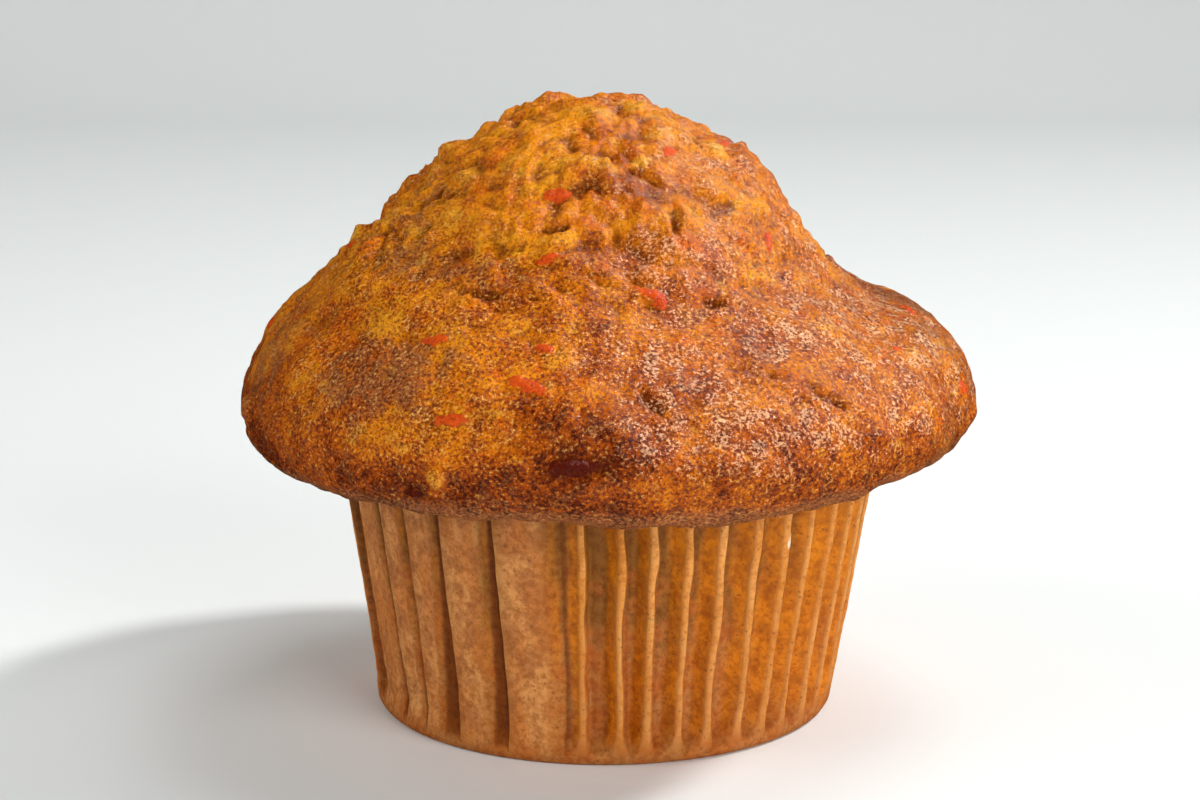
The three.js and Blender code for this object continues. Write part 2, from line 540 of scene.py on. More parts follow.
def crust_relief(rings, settings):
    """How far the crust stands out along its normal, in millimetres, and each lump's tint.
    The cap above the ledge is the sum of noises and billows, of squat lumps with creases
    between them and of small pebbles. The brim below is the sum of low swells, billows
    and wrinkles that run along it. A broken groove runs under the ledge, and creases and
    pores are cut where other noises allow them."""
    height = rings[..., 2]
    ledge = LEDGE_HEIGHT + 1.6 * smooth_noise(rings * (1, 1, 0), 13, 11)
    rough = between(height, ledge - 7, ledge + 5)
    bent = warped(warped(rings, 9, 2.6, 12), 3, 0.8, 17)
    squat = bent * (1, 1, 1.25)
    nearest, second, number = lumps(squat, 4.8, 42)
    apart = second - nearest
    pebble, _, pebble_number = lumps(bent, 2.1, 44)
    cap = (
        0.60 * layered_noise(bent, 10, 27, 2)
        + 0.28 * (between(apart, 0, 0.5) - 0.7)
        + 0.60 * billows(squat, 7.2, 13)
        + 0.30 * smooth_noise(bent, 3.0, 14)
        + 0.26 * (0.6 - between(pebble, 0.1, 0.75))
        + 0.16 * billows(bent, 1.9, 15)
        + 0.12 * smooth_noise(bent, 1.2, 30)
    )
    tint = (number + pebble_number - 1) * between(apart, 0, 0.2)
    brim = (
        layered_noise(rings, 12, 16, 3)
        + 0.5 * billows(bent, 5, 28)
        + 0.25 * smooth_noise(rings * (0.35, 0.35, 1), 1.5, 29)
    )
    relief = rough * settings.cap_lumps / MM * cap + (1 - rough) * settings.brim_swells / MM * brim
    relief += 0.08 * smooth_noise(rings, 1.6, 19) + 0.06 * smooth_noise(rings, 1.0, 20)
    groove = np.exp(-(((height - ledge + 1) / 1.8) ** 2))
    relief -= 0.5 * groove * between(smooth_noise(rings, 10, 21), -0.3, 0.5)

    crease = np.abs(smooth_noise(rings * (1, 1, 1.7), 8, 22))
    broken = between(smooth_noise(rings, 15, 23), 0, 0.35)
    relief -= 0.4 * broken * (1 - between(crease, 0, 0.05)) * (0.3 + 0.7 * rough)

    pore, _, pore_number = lumps(rings, 2.6, 24)
    relief -= 0.25 * (pore_number > 0.65) * (1 - between(pore, 0.08, 0.24))
    return relief, tint


def crust_marks(rings, normals, relief):
    """Adds the shreds, pits, berries and lumps to the relief: each is a smooth step of its
    oval's distance, some with a bell-shaped rim or moat round it. Returns the relief,
    fields from 0 to 1 that say where each kind shows, and how much browner patches are."""
    torn = 0.25 * smooth_noise(rings, 1.7, 25) + 0.2 * smooth_noise(rings, 0.9, 26)
    waved = 0.5 * layered_noise(rings, 6, 36, 2)
    fields = {name: np.zeros(relief.shape) for name in ("carrot", "berry", "pale", "dusky")}
    browner = np.zeros(relief.shape)
    shreds, pits, berries, chunks, patches = crust_features()
    for *place, proud, pale in chunks:
        oval = local_oval(rings, normals, *place) + torn
        relief += proud * (1 - between(oval, 0.4, 1.2))
        relief -= 0.35 * proud * np.exp(-(((oval - 1.4) / 0.3) ** 2))
        fields["pale"] = np.maximum(fields["pale"], pale * (1 - between(oval, 0.6, 1.2)))
    for *place, deep in pits:
        oval = local_oval(rings, normals, *place) + 2.2 * torn
        relief -= 0.5 * deep * (1 - between(oval, -0.2, 1.4))
        relief += 0.12 * deep * np.exp(-(((oval - 1.7) / 0.5) ** 2))
    for place in shreds:
        oval = local_oval(rings, normals, *place) + 1.3 * torn
        relief += 0.22 * (1 - between(oval, 0.5, 1.1))
        relief -= 0.12 * np.exp(-(((oval - 1.3) / 0.25) ** 2))
        fields["carrot"] = np.maximum(fields["carrot"], 1 - between(oval, 0.5, 1.3))
    for place in berries:
        oval = local_oval(rings, normals, *place) + 1.3 * torn
        relief += 0.3 * (1 - between(oval, 0.2, 0.8)) - 0.5 * np.exp(-(((oval - 1) / 0.3) ** 2))
        fields["berry"] = np.maximum(fields["berry"], 1 - between(oval, 0.5, 1.4))
    # The dusky share holds purplish crust and painted sheen at the crown's edges.
    for *place, darker, dusky in patches:
        share = 1 - between(local_oval(rings, normals, *place) + waved, 0.3, 1.4)
        browner += darker * share
        fields["dusky"] = np.maximum(fields["dusky"], dusky * share)
    return relief, fields, browner


def browning(rings, browner, pale):
    """How far the crust is browned, from 0, golden, to 1, dark: darkest at the rim, less so
    on the right and on the cap, more so in the middle, and varied by noise and patches."""
    height = rings[..., 2]
    right = rightward(rings)
    rim = 1 - between(height, 30.5, 42.5)
    middle = between(right, -0.4, 0) * (1 - 0.5 * between(right, 0.4, 0.7))
    brown = 0.37 + (0.52 - 0.16 * right) * rim + 0.15 * layered_noise(rings, 9, 41, 3)
    brown += 0.24 * middle * between(height, 33, 40) - 0.2 * between(height, 47, 56)
    return np.clip(brown + browner - 0.3 * pale, 0, 1)


def painted_glint_share(rings):
    """How much painted glint goes on the tops of the crumbs, from 0 to 1: most over the brim
    on the right, where the side light's gloss falls, least at the rim, and uneven by noise."""
    height = rings[..., 2]
    on_brim = between(height, 32, 38) * (1 - 0.35 * between(height, 45, 52))
    uneven = 0.5 + 0.5 * layered_noise(rings, 8, 43, 3)
    right_side = between(rightward(rings), -0.15, 0.25) * on_brim
    share = 0.20 + 0.12 * between(height, 34, 41) + 0.52 * right_side
    return np.clip(share * (0.3 + 1.4 * uneven), 0, 1)


def hollows(relief):
    """How deep each point lies below its surroundings, in millimetres: the relief
    averaged over a few points each way, less the relief itself."""
    mean = relief
    for reach in (1, 2, 3, 5):
        moved = [np.roll(mean, step, axis) for axis in (1, 0) for step in (reach, -reach)]
        mean = sum(moved, mean) / 5
    return mean - relief


def cake_mesh(settings):
    """The cake: each point of its rings is moved along its normal by the relief, which
    fades in from the case's mouth outwards. The mesh also holds what colours it."""
    rings, first_crown_row = cake_rings(settings)
    normals = surface_normals(rings)
    relief, tint = crust_relief(rings, settings)
    relief, fields, browner = crust_marks(rings, normals, relief)
    height = rings[..., 2]
    radius = np.linalg.norm(rings[..., :2], axis=-1)
    on_crown = between(radius, CASE_MOUTH_RADIUS + 0.3, CASE_MOUTH_RADIUS + 3)
    on_crown = np.where(height > CASE_HEIGHT + 3, 1, on_crown)
    on_crown[:first_crown_row] = 0
    relief *= on_crown
    shaped = rings + normals * relief[..., None]
    peak = shaped[-1].mean(axis=0) + (0, 0, 0.05)
    mesh = ring_mesh("muffin_cake", shaped, (0, 0, float(rings[0, 0, 2])), peak)
    fields["browning"] = browning(rings, browner, fields["pale"])
    # Painted glints: light specks that stand for gloss on the crumbs, strongest on the right.
    fields["tips"] = painted_glint_share(rings)
    # Painted shade in pits, creases and cracks, by how deep each point lies below its surroundings.
    fields["hollow"] = np.clip(hollows(relief) * 2, 0, 1)
    fields["tint"] = tint
    # Where the painted gap shade and glints are weaker: on the cap and on the left side.
    fields["soft"] = np.maximum(between(height, 48, 60), 0.6 * between(-rings[..., 0], 24, 36))
    # Mauve crust with a painted reflection of the pale floor, on the crust that faces down under the
    # rim.
    fields["underside"] = 1 - between(height + 2 * normals[..., 2], 28.4, 32.0)
    for name, values in fields.items():
        set_attribute(mesh, name, values, values[0].mean(), values[-1].mean())
    return mesh


def crust_material(crust):
    """Moist crust. Its browning, varied by five noises from patches down to crumb, sets
    its place on a ramp from golden through baked and browned to dark. Coats for purplish
    patches that also paint sheen at the edges, a painted reflection of the floor on the
    underside, bare crumb and painted shade in pits and cracks go over that. Darker crumb and
    painted shade between crumbs darken it, and painted glints on the tops of the crumbs,
    the carrot and the berries come last."""
    material, tree, shader = new_material("muffin_crust")
    coarse = noise(tree, 0.0045, 4, 0.6)
    blotch = noise(tree, 0.0017, 4, 0.65)
    hue = noise(tree, 0.0026, 3, 0.6)
    crumb = noise(tree, 0.0006, 4, 0.7)
    fine = noise(tree, 0.00026, 2, 0.6)
    patch = noise(tree, 0.0036, 3, 0.6, squash=(1, 1, 1.3))
    crumbs = noise(tree, 0.00034, 3, 0.7, squash=(0.92, 0.92, 1.1))
    grain, _ = grains(tree, 0.00036, 1.4)
    shade = attribute(tree, "browning")
    for layer, low, high, paler, browner in (
        (attribute(tree, "tint"), -1, 1, 0.12, -0.12),
        (coarse, 0.3, 0.7, -0.22, 0.22),
        (blotch, 0.32, 0.68, -0.11, 0.11),
        (crumb, 0.32, 0.68, -0.18, 0.18),
        (grain, 0.1, 0.7, 0.08, -0.04),
    ):
        shade = added(shade, ranged(layer, low, high, paler, browner))
    warmth = ragged("tint", hue, 0.35, 0.65, 0.6)
    golden = mixed(ranged(warmth, 0.1, 0.9, 0, 0.8), crust.golden, crust.amber)
    baked = mixed(ranged(warmth, -0.1, -0.9, 0, 0.8), crust.baked, crust.ruddy)
    # Purplish crust, and painted sheen at the crown's edges.
    dusky_sheen_share = ragged("dusky", blotch, 0.35, 0.65, 0.45)
    bare = times(attribute(tree, "pale"), crumb)
    pale_patch = ranged(patch, 0.57, 0.72, 0, 0.6)
    colour = painted(golden, (
        (ranged(shade, 0.0, 0.42), baked),
        (ranged(shade, 0.35, 0.80), crust.browned),
        (ranged(shade, 0.75, 1.15), crust.dark),
        (ranged(dusky_sheen_share, 0.0, 1.1, 0, 0.85), crust.dusky),
        # Mauve crust with a painted reflection of the pale floor under the rim.
        (ranged(attribute(tree, "underside"), 0, 1, 0, 0.7), crust.underside),
        (ranged(bare, 0.05, 0.5, 0, 0.7), crust.pale),
        (times(pale_patch, ranged(shade, 0.4, 0.8, 1, 0)), crust.pale),
        # Painted shade in pits, creases and cracks.
        (ranged(attribute(tree, "hollow"), 0.15, 1.0, 0, 0.75), crust.hollow),
    ))

    # Tight weakens the painted gap shade and glints where the soft field is high.
    tight = ranged(attribute(tree, "soft"), 0, 1, 1, 0.65)
    tight = times(tight, ranged(coarse, 0.35, 0.65, 0.85, 1.15))
    # Darker crumb and painted shade in the gaps between crumbs, where the crumbs noise is low.
    gap = times(ranged(crumbs, 0.52, 0.40), tight)
    colour = mixed(gap, colour, crust.gap, "MULTIPLY")
    # Painted glints: pale specks on the tops of the crumbs, strongest where the side light's gloss
    # falls.
    glint_reach = attribute(tree, "tips")
    glint_boost = times(glint_reach, ranged(blotch, 0.38, 0.62, 0, 0.15))
    tips = ranged(added(crumbs, glint_boost), 0.60, 0.69, 0, 0.76)
    tips = times(times(tips, tight), ranged(shade, 0.5, 1.1, 1, 0.5))
    glint_colour = mixed(ranged(glint_reach, 0.3, 0.7), crust.golden_glint, crust.pale_glint)
    shred = ragged("carrot", crumb, 0.3, 0.7, 0.3)
    # The carrot's darker colour is painted shade in the same gaps.
    carrot = mixed(gap, crust.carrot, crust.carrot_gap_shade)
    fruit = ragged("berry", crumb, 0.3, 0.7, 0.3)
    colour = painted(colour, (
        (tips, glint_colour),
        (ranged(shred, 0.3, 0.6, 0, 0.95), carrot),
        (ranged(fruit, 0.35, 0.8, 0, 0.95), crust.berry),
    ))
    pitted = bumped(blotch, 0.0005, 0.8)
    pitted = bumped(crumb, 0.00018, Normal=pitted)
    pitted = bumped(crumbs, 0.00014, Normal=pitted)
    set_inputs(shader, {
        "Base Color": colour,
        "Roughness": ranged(crumbs, 0.42, 0.58, 0.50, 0.13),
        "IOR": 1.55,
        "Specular IOR Level": 0.42,
        "Normal": bumped(fine, 0.00006, Normal=pitted),
    })
    return material


# ---- The paper case ----

# Pleats that were pressed flat: the azimuths where each one's outer face starts and ends,
# and how many degrees wider the fold after it is at the floor than at the top.
PRESSED_PLEATS = (
    (198.6, 210.6, 0.5),
    (212, 219.6, 0),
    (221.4, 231.6, 5.8),
    (232.8, 245.4, 4.6),
    (246.8, 259.4, 0),
)
# The standing pleats at the front: the azimuth of each one's middle.
FRONT_PLEATS = (265.2, 273.5, 280, 287.4, 294.9, 303.3, 311, 318, 326.5, 334.5)

# Columns of points across a pleat's face, its steep side, its groove and its sloping
# side. The pleats all lean the same way, so the side on the left of a face slopes.
PLEAT_COLUMNS = (4, 3, 4, 6)
STEEP_SIDE = 0.5  # degrees across the steep side of a standing pleat
PRESSED_STEEP_SIDE = 2.4
SLOPING_SIDE = 2.9  # degrees across the sloping side of a standing pleat
PRESSED_SLOPING_SIDE = 0.3
FLOOR_BEND = 0.7  # radius of the bend from the floor to the wall

# Places at the front where the paper stands clear of the cake and has stayed dry:
# azimuth, height, length, width and turn.
DRY_SPOTS = (
    (308.6, 27.8, 4.6, 1.5, 86),
    (311.8, 23.8, 2.6, 1.2, 80),
)


def case_radius(height):
    """Radius of the outside of the pleats: a plain cone from the floor to the mouth."""
    case = bpy.context.scene.muffin_case
    base = case.base_radius / MM
    return base + (CASE_MOUTH_RADIUS - base) * height / CASE_HEIGHT


def pleat_faces(settings):
    """Azimuths where each pleat's outer face starts and ends, all the way round, and how
    far the fold after it opens: the standing pleats at the front, others on from them at
    an even pitch and a seeded unevenness, and then the pressed ones."""
    rng = np.random.default_rng(51)
    first = FRONT_PLEATS[-1] + settings.pleat_pitch
    room = PRESSED_PLEATS[0][0] + 360 - first
    count = round(room / settings.pleat_pitch)
    others = first + np.arange(count) * room / count + rng.uniform(-0.5, 0.5, count)
    middles = np.concatenate([FRONT_PLEATS, others])
    half = settings.pleat_width / 2 * rng.uniform(0.8, 1.25, len(middles))
    standing = np.column_stack([middles - half, middles + half, 0 * half])
    pressed = np.array(PRESSED_PLEATS) + (360, 360, 0)
    return np.vstack([standing, pressed]), np.repeat([0.0, 1.0], [len(middles), len(pressed)])


def case_outline(settings):
    """Radius and height along the case before it is pleated: across the floor, round its
    edge as a quarter circle, and up the wall."""
    base = settings.base_radius / MM
    floor = [(radius, 0) for radius in (7, 14, 20, base - FLOOR_BEND)]
    turn = np.radians(np.linspace(15, 78, 5))
    corner = np.column_stack([
        base - FLOOR_BEND + FLOOR_BEND * np.sin(turn), FLOOR_BEND - FLOOR_BEND * np.cos(turn)
    ])
    low = np.linspace(FLOOR_BEND, 5, 12)
    high = np.linspace(5, CASE_HEIGHT, 37)[1:]
    wall = [(case_radius(height), height) for height in [*low, *high]]
    return np.array([*floor, *corner, *wall])


def pleat_grid(settings, height):
    """Where each point lies on its pleat. Each pleat has a face, a steep side down to its
    groove, the groove and a sloping side up to the next face. The fold lines between them
    wander with height by noise, faces widen towards the floor, and grooves between
    pressed pleats open towards the floor. A point's azimuth is even between two folds."""
    faces, pressed = pleat_faces(settings)
    count = len(faces)
    places = np.concatenate([
        kind + np.linspace(0, 1, columns, endpoint=False)
        for kind, columns in enumerate(PLEAT_COLUMNS)
    ])
    pleat = np.repeat(np.arange(count), len(places))[None]
    place = np.tile(places, count)[None]
    flat = pressed[pleat]
    flat_next = np.roll(pressed, -1)[pleat]
    opens = faces[:, 2][pleat]

    def wander(seed, size, reach):
        return reach * smooth_noise(stacked(pleat * 7.3, height / size, 0.5), 1, seed)

    splay = (1 - between(height, 0, 5)) ** 1.5
    sway = wander(52, 9, 0.5) + wander(53, 4, 0.35)
    start = faces[:, 0][pleat] + sway - 1.3 * splay * (1 - flat)
    end = faces[:, 1][pleat] + sway + wander(54, 4, 0.45) + 1.5 * splay * (1 - flat)
    end = end - opens * (1 - height / CASE_HEIGHT)
    next_start = np.roll(start, -len(places), axis=1) + 360 * (pleat == count - 1)
    steep = np.where(flat > 0, PRESSED_STEEP_SIDE, STEEP_SIDE)
    sloping = np.where(flat_next > 0, PRESSED_SLOPING_SIDE, SLOPING_SIDE)
    squeeze = np.minimum(1, 0.75 * (next_start - end) / (steep + sloping))
    folds = stacked(start, end, end + steep * squeeze, next_start - sloping * squeeze, next_start)
    segment = np.broadcast_to(np.floor(place).astype(int), folds.shape[:-1])
    part = place - segment
    before = np.take_along_axis(folds, segment[..., None], -1)[..., 0]
    after = np.take_along_axis(folds, segment[..., None] + 1, -1)[..., 0]
    face, steep, groove, slope = (segment == kind for kind in range(4))
    return SimpleNamespace(
        azimuth=np.radians(before + (after - before) * part), part=part, flat=flat,
        flat_next=flat_next, opens=opens, splay=splay, height=height, face=face,
        steep=steep, groove=groove, slope=slope,
        lift=np.select([face, steep, slope], [1, 1 - ease(part), part ** 1.3], 0),
    )


def case_inset(at, settings):
    """How far each point lies inside the case's plain cone, in millimetres: the pleats'
    depth less their lift, with faces and grooves bowed by a parabola, and the left side
    drawn in towards the mouth."""
    bow = 1 - (2 * at.part - 1) ** 2
    settled = between(at.height, 0.6, 4)
    inset = settings.pleat_depth / MM * settled * (1 - at.lift) * np.where(at.flat > 0, 0.5, 1)
    inset += settled * (0.35 * at.flat * at.lift - 0.12 * bow * at.face * (1 - at.flat))
    inset -= 0.12 * bow * at.groove * settled
    leaning = between(np.cos(at.azimuth - math.radians(190)), 0.45, 0.95)
    return inset + leaning * (0.35 * settled + 0.7 * at.height / CASE_HEIGHT)


def case_fields(at, around, rings):
    """What shows at each point of the case, from 0 to 1: smooth steps across each part of
    a pleat and up the wall, and ovals where the paper is dry. Some are painted light and
    shade: light shining through the sloping sides, shade in the folds and at the grooves'
    bottoms, and highlights along the pressed pleats' edges."""
    part, flat, flat_next, height = at.part, at.flat, at.flat_next, at.height
    uneven = 0.8 + 0.45 * smooth_noise(around * (1, 1, 0.6), 5, 57)
    low = 1 - between(height, 4, 27)
    # Painted highlights along the pressed pleats' edges, where light catches them.
    edge_highlight = 0.65 * between(part, 0.6, 0.9) + 0.5 * (1 - between(part, 0, 0.1))
    crest = at.face * np.where(flat > 0, edge_highlight * uneven, 0.9 + 0.1 * between(part, 0, 0.5))
    rising = 0.3 * between(part, 0.35, 0.8) + 0.65 * between(part, 0.82, 1)
    crest = crest + at.slope * rising * (1 - 0.5 * flat_next)
    crest = crest * (1 - (0.3 * low + 0.5 * at.splay) * (1 - flat))
    # Painted glow: light passing through the soaked sloping sides, painted into their colour.
    glow = at.slope * (0.45 + 0.55 * between(part, 0, 0.4)) * (1 - flat_next)
    glow = glow + 0.45 * (1 - flat_next) * at.groove * between(part, 0.3, 1)
    glow = glow + 0.4 * at.steep * flat * (1 - between(part, 0.2, 0.8))
    # Painted shade in the deep folds between pressed pleats.
    deep = np.where(at.opens > 0, 1, 0.4) * flat * flat_next
    fold = deep * (at.steep * between(part, 0.1, 0.9) + at.groove + at.slope)
    fold = fold + 0.5 * flat * (1 - flat_next) * at.groove
    dry = 0
    for spot in DRY_SPOTS:
        oval = local_oval(rings, surface_normals(around), *spot)
        dry = np.maximum(dry, 1 - between(oval, 0.5, 1.1))
    return {
        "crest": crest * between(height, 0.2, 1.5),
        "glow": glow * between(height, 0.5, 4) * uneven,
        "panel": at.face * flat * between(height, 0.5, 3),
        "fold": fold * between(height, 0.5, 3),
        "low": low,
        # Painted shade at the bottoms of the grooves just above the floor.
        "hollow": 0.5 * (1 - at.lift) * between(height, 0.6, 1.8) * (1 - between(height, 1.8, 6)),
        "dry": dry * between(at.lift, 0.3, 0.8),
    }


def case_mesh(settings):
    """The case's outer surface: its outline turned about the axis, less the pleats' inset
    and plus small creases. The mesh also holds what colours it."""
    outline = case_outline(settings)
    radius, height = outline[:, :1], outline[:, 1:]
    at = pleat_grid(settings, height)
    around = round_axis(radius, at.azimuth, height)
    creases = 0.13 * smooth_noise(around * (1, 1, 0.5), 4, 55) + 0.07 * smooth_noise(around, 1.6, 56)
    full = radius - case_inset(at, settings) + creases * between(height, 0.8, 4)
    rings = round_axis(full, at.azimuth, height)
    mesh = ring_mesh("muffin_paper_case", rings, (0, 0, 0))
    for name, values in case_fields(at, around, rings).items():
        set_attribute(mesh, name, np.broadcast_to(values, rings.shape[:2]), 0.0)
    return mesh


def paper_material(paper):
    """Baking paper soaked with fat. Its ground is the stain of the grooves and panels, by
    noise and height; the darkening towards the top is partly painted shadow under the
    crown's overhang. Coats for painted shade in the folds, the painted light shining
    through the sloping sides, the faces with painted highlights along the pressed edges
    and painted shade at the grooves' bottoms go over that, each by an attribute with ragged
    edges. Mottling darkens it, and specks and the dry spots come last."""
    material, tree, shader = new_material("muffin_case_paper")
    blotch = noise(tree, 0.0026, 3, 0.65)
    streak = noise(tree, 0.0032, 3, 0.65, squash=(1, 1, 0.25))
    mottle = noise(tree, 0.0007, 4, 0.75)
    fibres = noise(tree, 0.0003, 3, 0.7)
    spot, pick = grains(tree, 0.00062, 0.8)
    low = ragged("low", blotch, 0.3, 0.7, 0.3)
    panel = mixed(ranged(streak, 0.4, 0.6), paper.panel, paper.panel_red)
    panel = mixed(ranged(blotch, 0.42, 0.62, 0, 0.8), panel, paper.panel_dark)
    # Side and Brown Side are the painted glow of light through the pleats' sides.
    side = mixed(ranged(blotch, 0.35, 0.7), paper.side, paper.side_brown)
    face = mixed(ranged(streak, 0.35, 0.65), paper.face, paper.face_stained)
    glow = ragged("glow", streak, 0.3, 0.7, 0.2)
    # Paler paper on the faces, and painted highlights along the pressed pleats' edges.
    crest = ragged("crest", mottle, 0.3, 0.7, 0.2)
    colour = painted(paper.groove, (
        (ranged(blotch, 0.38, 0.62), paper.groove_red),
        # Darker towards the top: darker soaked paper, and painted shadow of the crown's overhang.
        (ranged(low, 0.8, 0.0, 0, 0.9), paper.groove_dark_shadowed),
        (attribute(tree, "panel"), panel),
        # Painted shade in the folds between pressed pleats.
        (ranged(attribute(tree, "fold"), 0, 1, 0, 0.95), paper.fold),
        (ranged(glow, 0.1, 0.9, 0, 0.95), side),
        (ranged(crest, 0.15, 0.95, 0, 0.95), face),
        # Painted shade at the grooves' bottoms, in the fold colour.
        (ranged(attribute(tree, "hollow"), 0, 1, 0, 0.75), paper.fold),
    ))
    colour = mixed(ranged(mottle, 0.40, 0.64), colour, paper.mottle, "MULTIPLY")
    specks = times(ranged(spot, 0.65, 0.9), ranged(pick, 0.5, 0.7, 0, 0.45))
    dry = ragged("dry", mottle, 0.3, 0.7, 0.3)
    colour = painted(colour, (
        (specks, paper.speck),
        (ranged(dry, 0.4, 0.8), paper.dry),
    ))
    crumpled = bumped(blotch, 0.0003, 0.5)
    crumpled = bumped(mottle, 0.0001, 0.7, Normal=crumpled)
    set_inputs(shader, {
        "Base Color": colour,
        "Roughness": ranged(mottle, 0.3, 0.7, 0.42, 0.58),
        "IOR": 1.45,
        "Specular IOR Level": 0.3,
        "Normal": bumped(fibres, 0.00004, 0.8, Normal=crumpled),
    })
    return material


# ---- The stage ----

CAMERA_PLACE = (-0.45, -356.7, 119.2)
CAMERA_DOWN = 13.5  # degrees below level
LENS = 100  # focal length in mm
SENSOR = 36  # width in mm

SHEET_WIDTH = 3000
SHEET_FRONT = -900  # y of the floor's front edge
BEND_START = 420  # y where the floor begins to bend up into the backdrop
BEND_RADIUS = 160
BACKDROP_HEIGHT = 1400

LIGHT_TARGET = (0, 0, 35)
# Each softbox: its name, place, side, spread of its beam in degrees, and whether it shows
# as a gloss on what it lights.
SOFTBOXES = (
    ("key", (160, 200, 680), 300, 130, False),
    ("side", (540, 190, 640), 110, 90, True),
    ("right", (450, -560, 260), 500, 180, False),
    ("left", (-600, -200, 350), 500, 180, False),
)


def sheet_mesh():
    """The floor and backdrop in one sheet, carried along X: level from the front, a
    quarter circle up, and straight up."""
    turn = np.radians(np.linspace(0, 90, 25))
    bend = np.column_stack([
        BEND_START + BEND_RADIUS * np.sin(turn), BEND_RADIUS - BEND_RADIUS * np.cos(turn)
    ])
    profile = [(SHEET_FRONT, 0), *bend, (BEND_START + BEND_RADIUS, BACKDROP_HEIGHT)]
    sides = np.array([-SHEET_WIDTH / 2, SHEET_WIDTH / 2])
    line = np.array(profile)[:, None]
    points = stacked(sides, line[..., 0], line[..., 1]).reshape(-1, 3)
    row = np.arange(len(profile) - 1) * 2
    faces = np.column_stack([row, row + 1, row + 3, row + 2])
    return smooth_mesh("floor", points, faces.tolist())


def floor_material(settings):
    """A plain matt material."""
    material, _, shader = new_material("pale_floor")
    matt = {"Base Color": (*settings.floor, 1), "Roughness": 0.8, "Specular IOR Level": 0.2}
    set_inputs(shader, matt)
    return material


def add_softbox(name, place, side, spread, mirrored, power):
    """A square area light that faces the target. Its axes are the way from the target to
    it, a level direction square to that, and the cross product of both."""
    data = bpy.data.lights.new(name, "AREA")
    data.size = side * MM
    data.spread = math.radians(spread)
    data.energy = power
    data.color = (1, 0.995, 0.985)
    lamp = bpy.data.objects.new(name, data)
    lamp.visible_glossy = mirrored
    away = np.subtract(place, LIGHT_TARGET) / np.linalg.norm(np.subtract(place, LIGHT_TARGET))
    across = np.cross((0, 0, 1), away)
    across /= np.linalg.norm(across)
    turn = Matrix(np.column_stack([across, np.cross(away, across), away]).tolist()).to_4x4()
    turn.translation = np.array(place) * MM
    lamp.matrix_world = turn
    bpy.context.scene.collection.objects.link(lamp)


def add_world(strength):
    """An even, slightly warm light from all round, which no gloss mirrors."""
    world = bpy.data.worlds.new("studio")
    bpy.context.scene.world = world
    world.use_nodes = True
    background = world.node_tree.nodes["Background"]
    set_inputs(background, {"Color": (1, 0.99, 0.97, 1), "Strength": strength})
    world.cycles_visibility.glossy = False


def add_camera():
    """The camera, level from side to side and tilted down at the muffin."""
    data = bpy.data.cameras.new("camera")
    data.lens = LENS
    data.sensor_width = SENSOR
    data.clip_start = 0.01
    camera = bpy.data.objects.new("camera", data)
    camera.location = [side * MM for side in CAMERA_PLACE]
    camera.rotation_euler = (math.radians(90 - CAMERA_DOWN), 0, 0)
    bpy.context.scene.collection.objects.link(camera)
    bpy.context.scene.camera = camera


# ---- Settings, operators and panel ----


def length(name, words, default):
    """A size in metres."""
    return bpy.props.FloatProperty(
        name=name, description=words, default=default, min=0, subtype="DISTANCE", unit="LENGTH"
    )


def colour(name, words, default):
    """A colour in linear light."""
    return bpy.props.FloatVectorProperty(
        name=name, description=words, default=default, size=3, min=0, max=1, subtype="COLOR"
    )


def count(name, words, default, least):
    """A whole number."""
    return bpy.props.IntProperty(name=name, description=words, default=default, min=least)


def number(name, words, default, least=0, unit="NONE"):
    """Degrees, a strength, or watts with the unit POWER."""
    return bpy.props.FloatProperty(
        name=name, description=words, default=default, min=least, unit=unit
    )


class CakeSettings(bpy.types.PropertyGroup):
    columns: count("Columns", "Points round the cake", 588, 24)
    crown_rows: count("Crown Rows", "Rings of points up the crown", 138, 8)
    underside_rows: count("Underside Rows", "Rings under the crown", 12, 2)
    cap_lumps: length("Cap Lumps", "How far the lumps of the cap stand out", 0.0016)
    brim_swells: length("Brim Swells", "How far the brim swells and dips", 0.0008)
    golden: colour("Golden", "Crust that is least browned", (0.94, 0.31, 0.005))
    amber: colour("Amber", "Yellower lumps of the least browned crust", (0.96, 0.39, 0.012))
    baked: colour("Baked", "Crust of middling colour", (0.76, 0.20, 0.004))
    ruddy: colour("Ruddy", "Redder lumps of middling crust", (0.80, 0.15, 0.004))
    browned: colour("Browned", "Crust that is well browned", (0.46, 0.08, 0.002))
    dark: colour("Dark", "Crust at the rim", (0.17, 0.020, 0.001))
    # Dusky also paints the sheen at the crown's edges.
    dusky: colour("Dusky", "Purplish brown patches", (0.42, 0.135, 0.04))
    # Underside is mauve crust with the pale floor's reflection painted in.
    underside: colour("Underside", "Crust under the rim", (0.42, 0.15, 0.06))
    pale: colour("Pale", "Lumps of crumb with little crust", (0.97, 0.46, 0.04))
    # Hollow is painted shade in pits and cracks.
    hollow: colour("Hollow", "Inside of pits and cracks", (0.20, 0.035, 0.002))
    # Gap is darker crumb and painted shade between the crumbs.
    gap: colour("Gap", "Tint of the gaps between the crumbs", (0.36, 0.26, 0.13))
    # The two glint colours are painted highlights on the crumbs, not dried crumb.
    golden_glint: colour("Golden Tip", "Tips of crumbs in moist crust", (1.0, 0.57, 0.14))
    pale_glint: colour("Pale Tip", "Tips of crumbs that have dried pale", (1.0, 0.60, 0.33))
    carrot: colour("Carrot", "Shreds of carrot", (0.80, 0.09, 0.008))
    # Dark Carrot is painted shade in the gaps of the shreds.
    carrot_gap_shade: colour("Dark Carrot", "Dimples in the shreds", (0.50, 0.04, 0.002))
    berry: colour("Berry", "Sunken berries", (0.10, 0.007, 0.002))


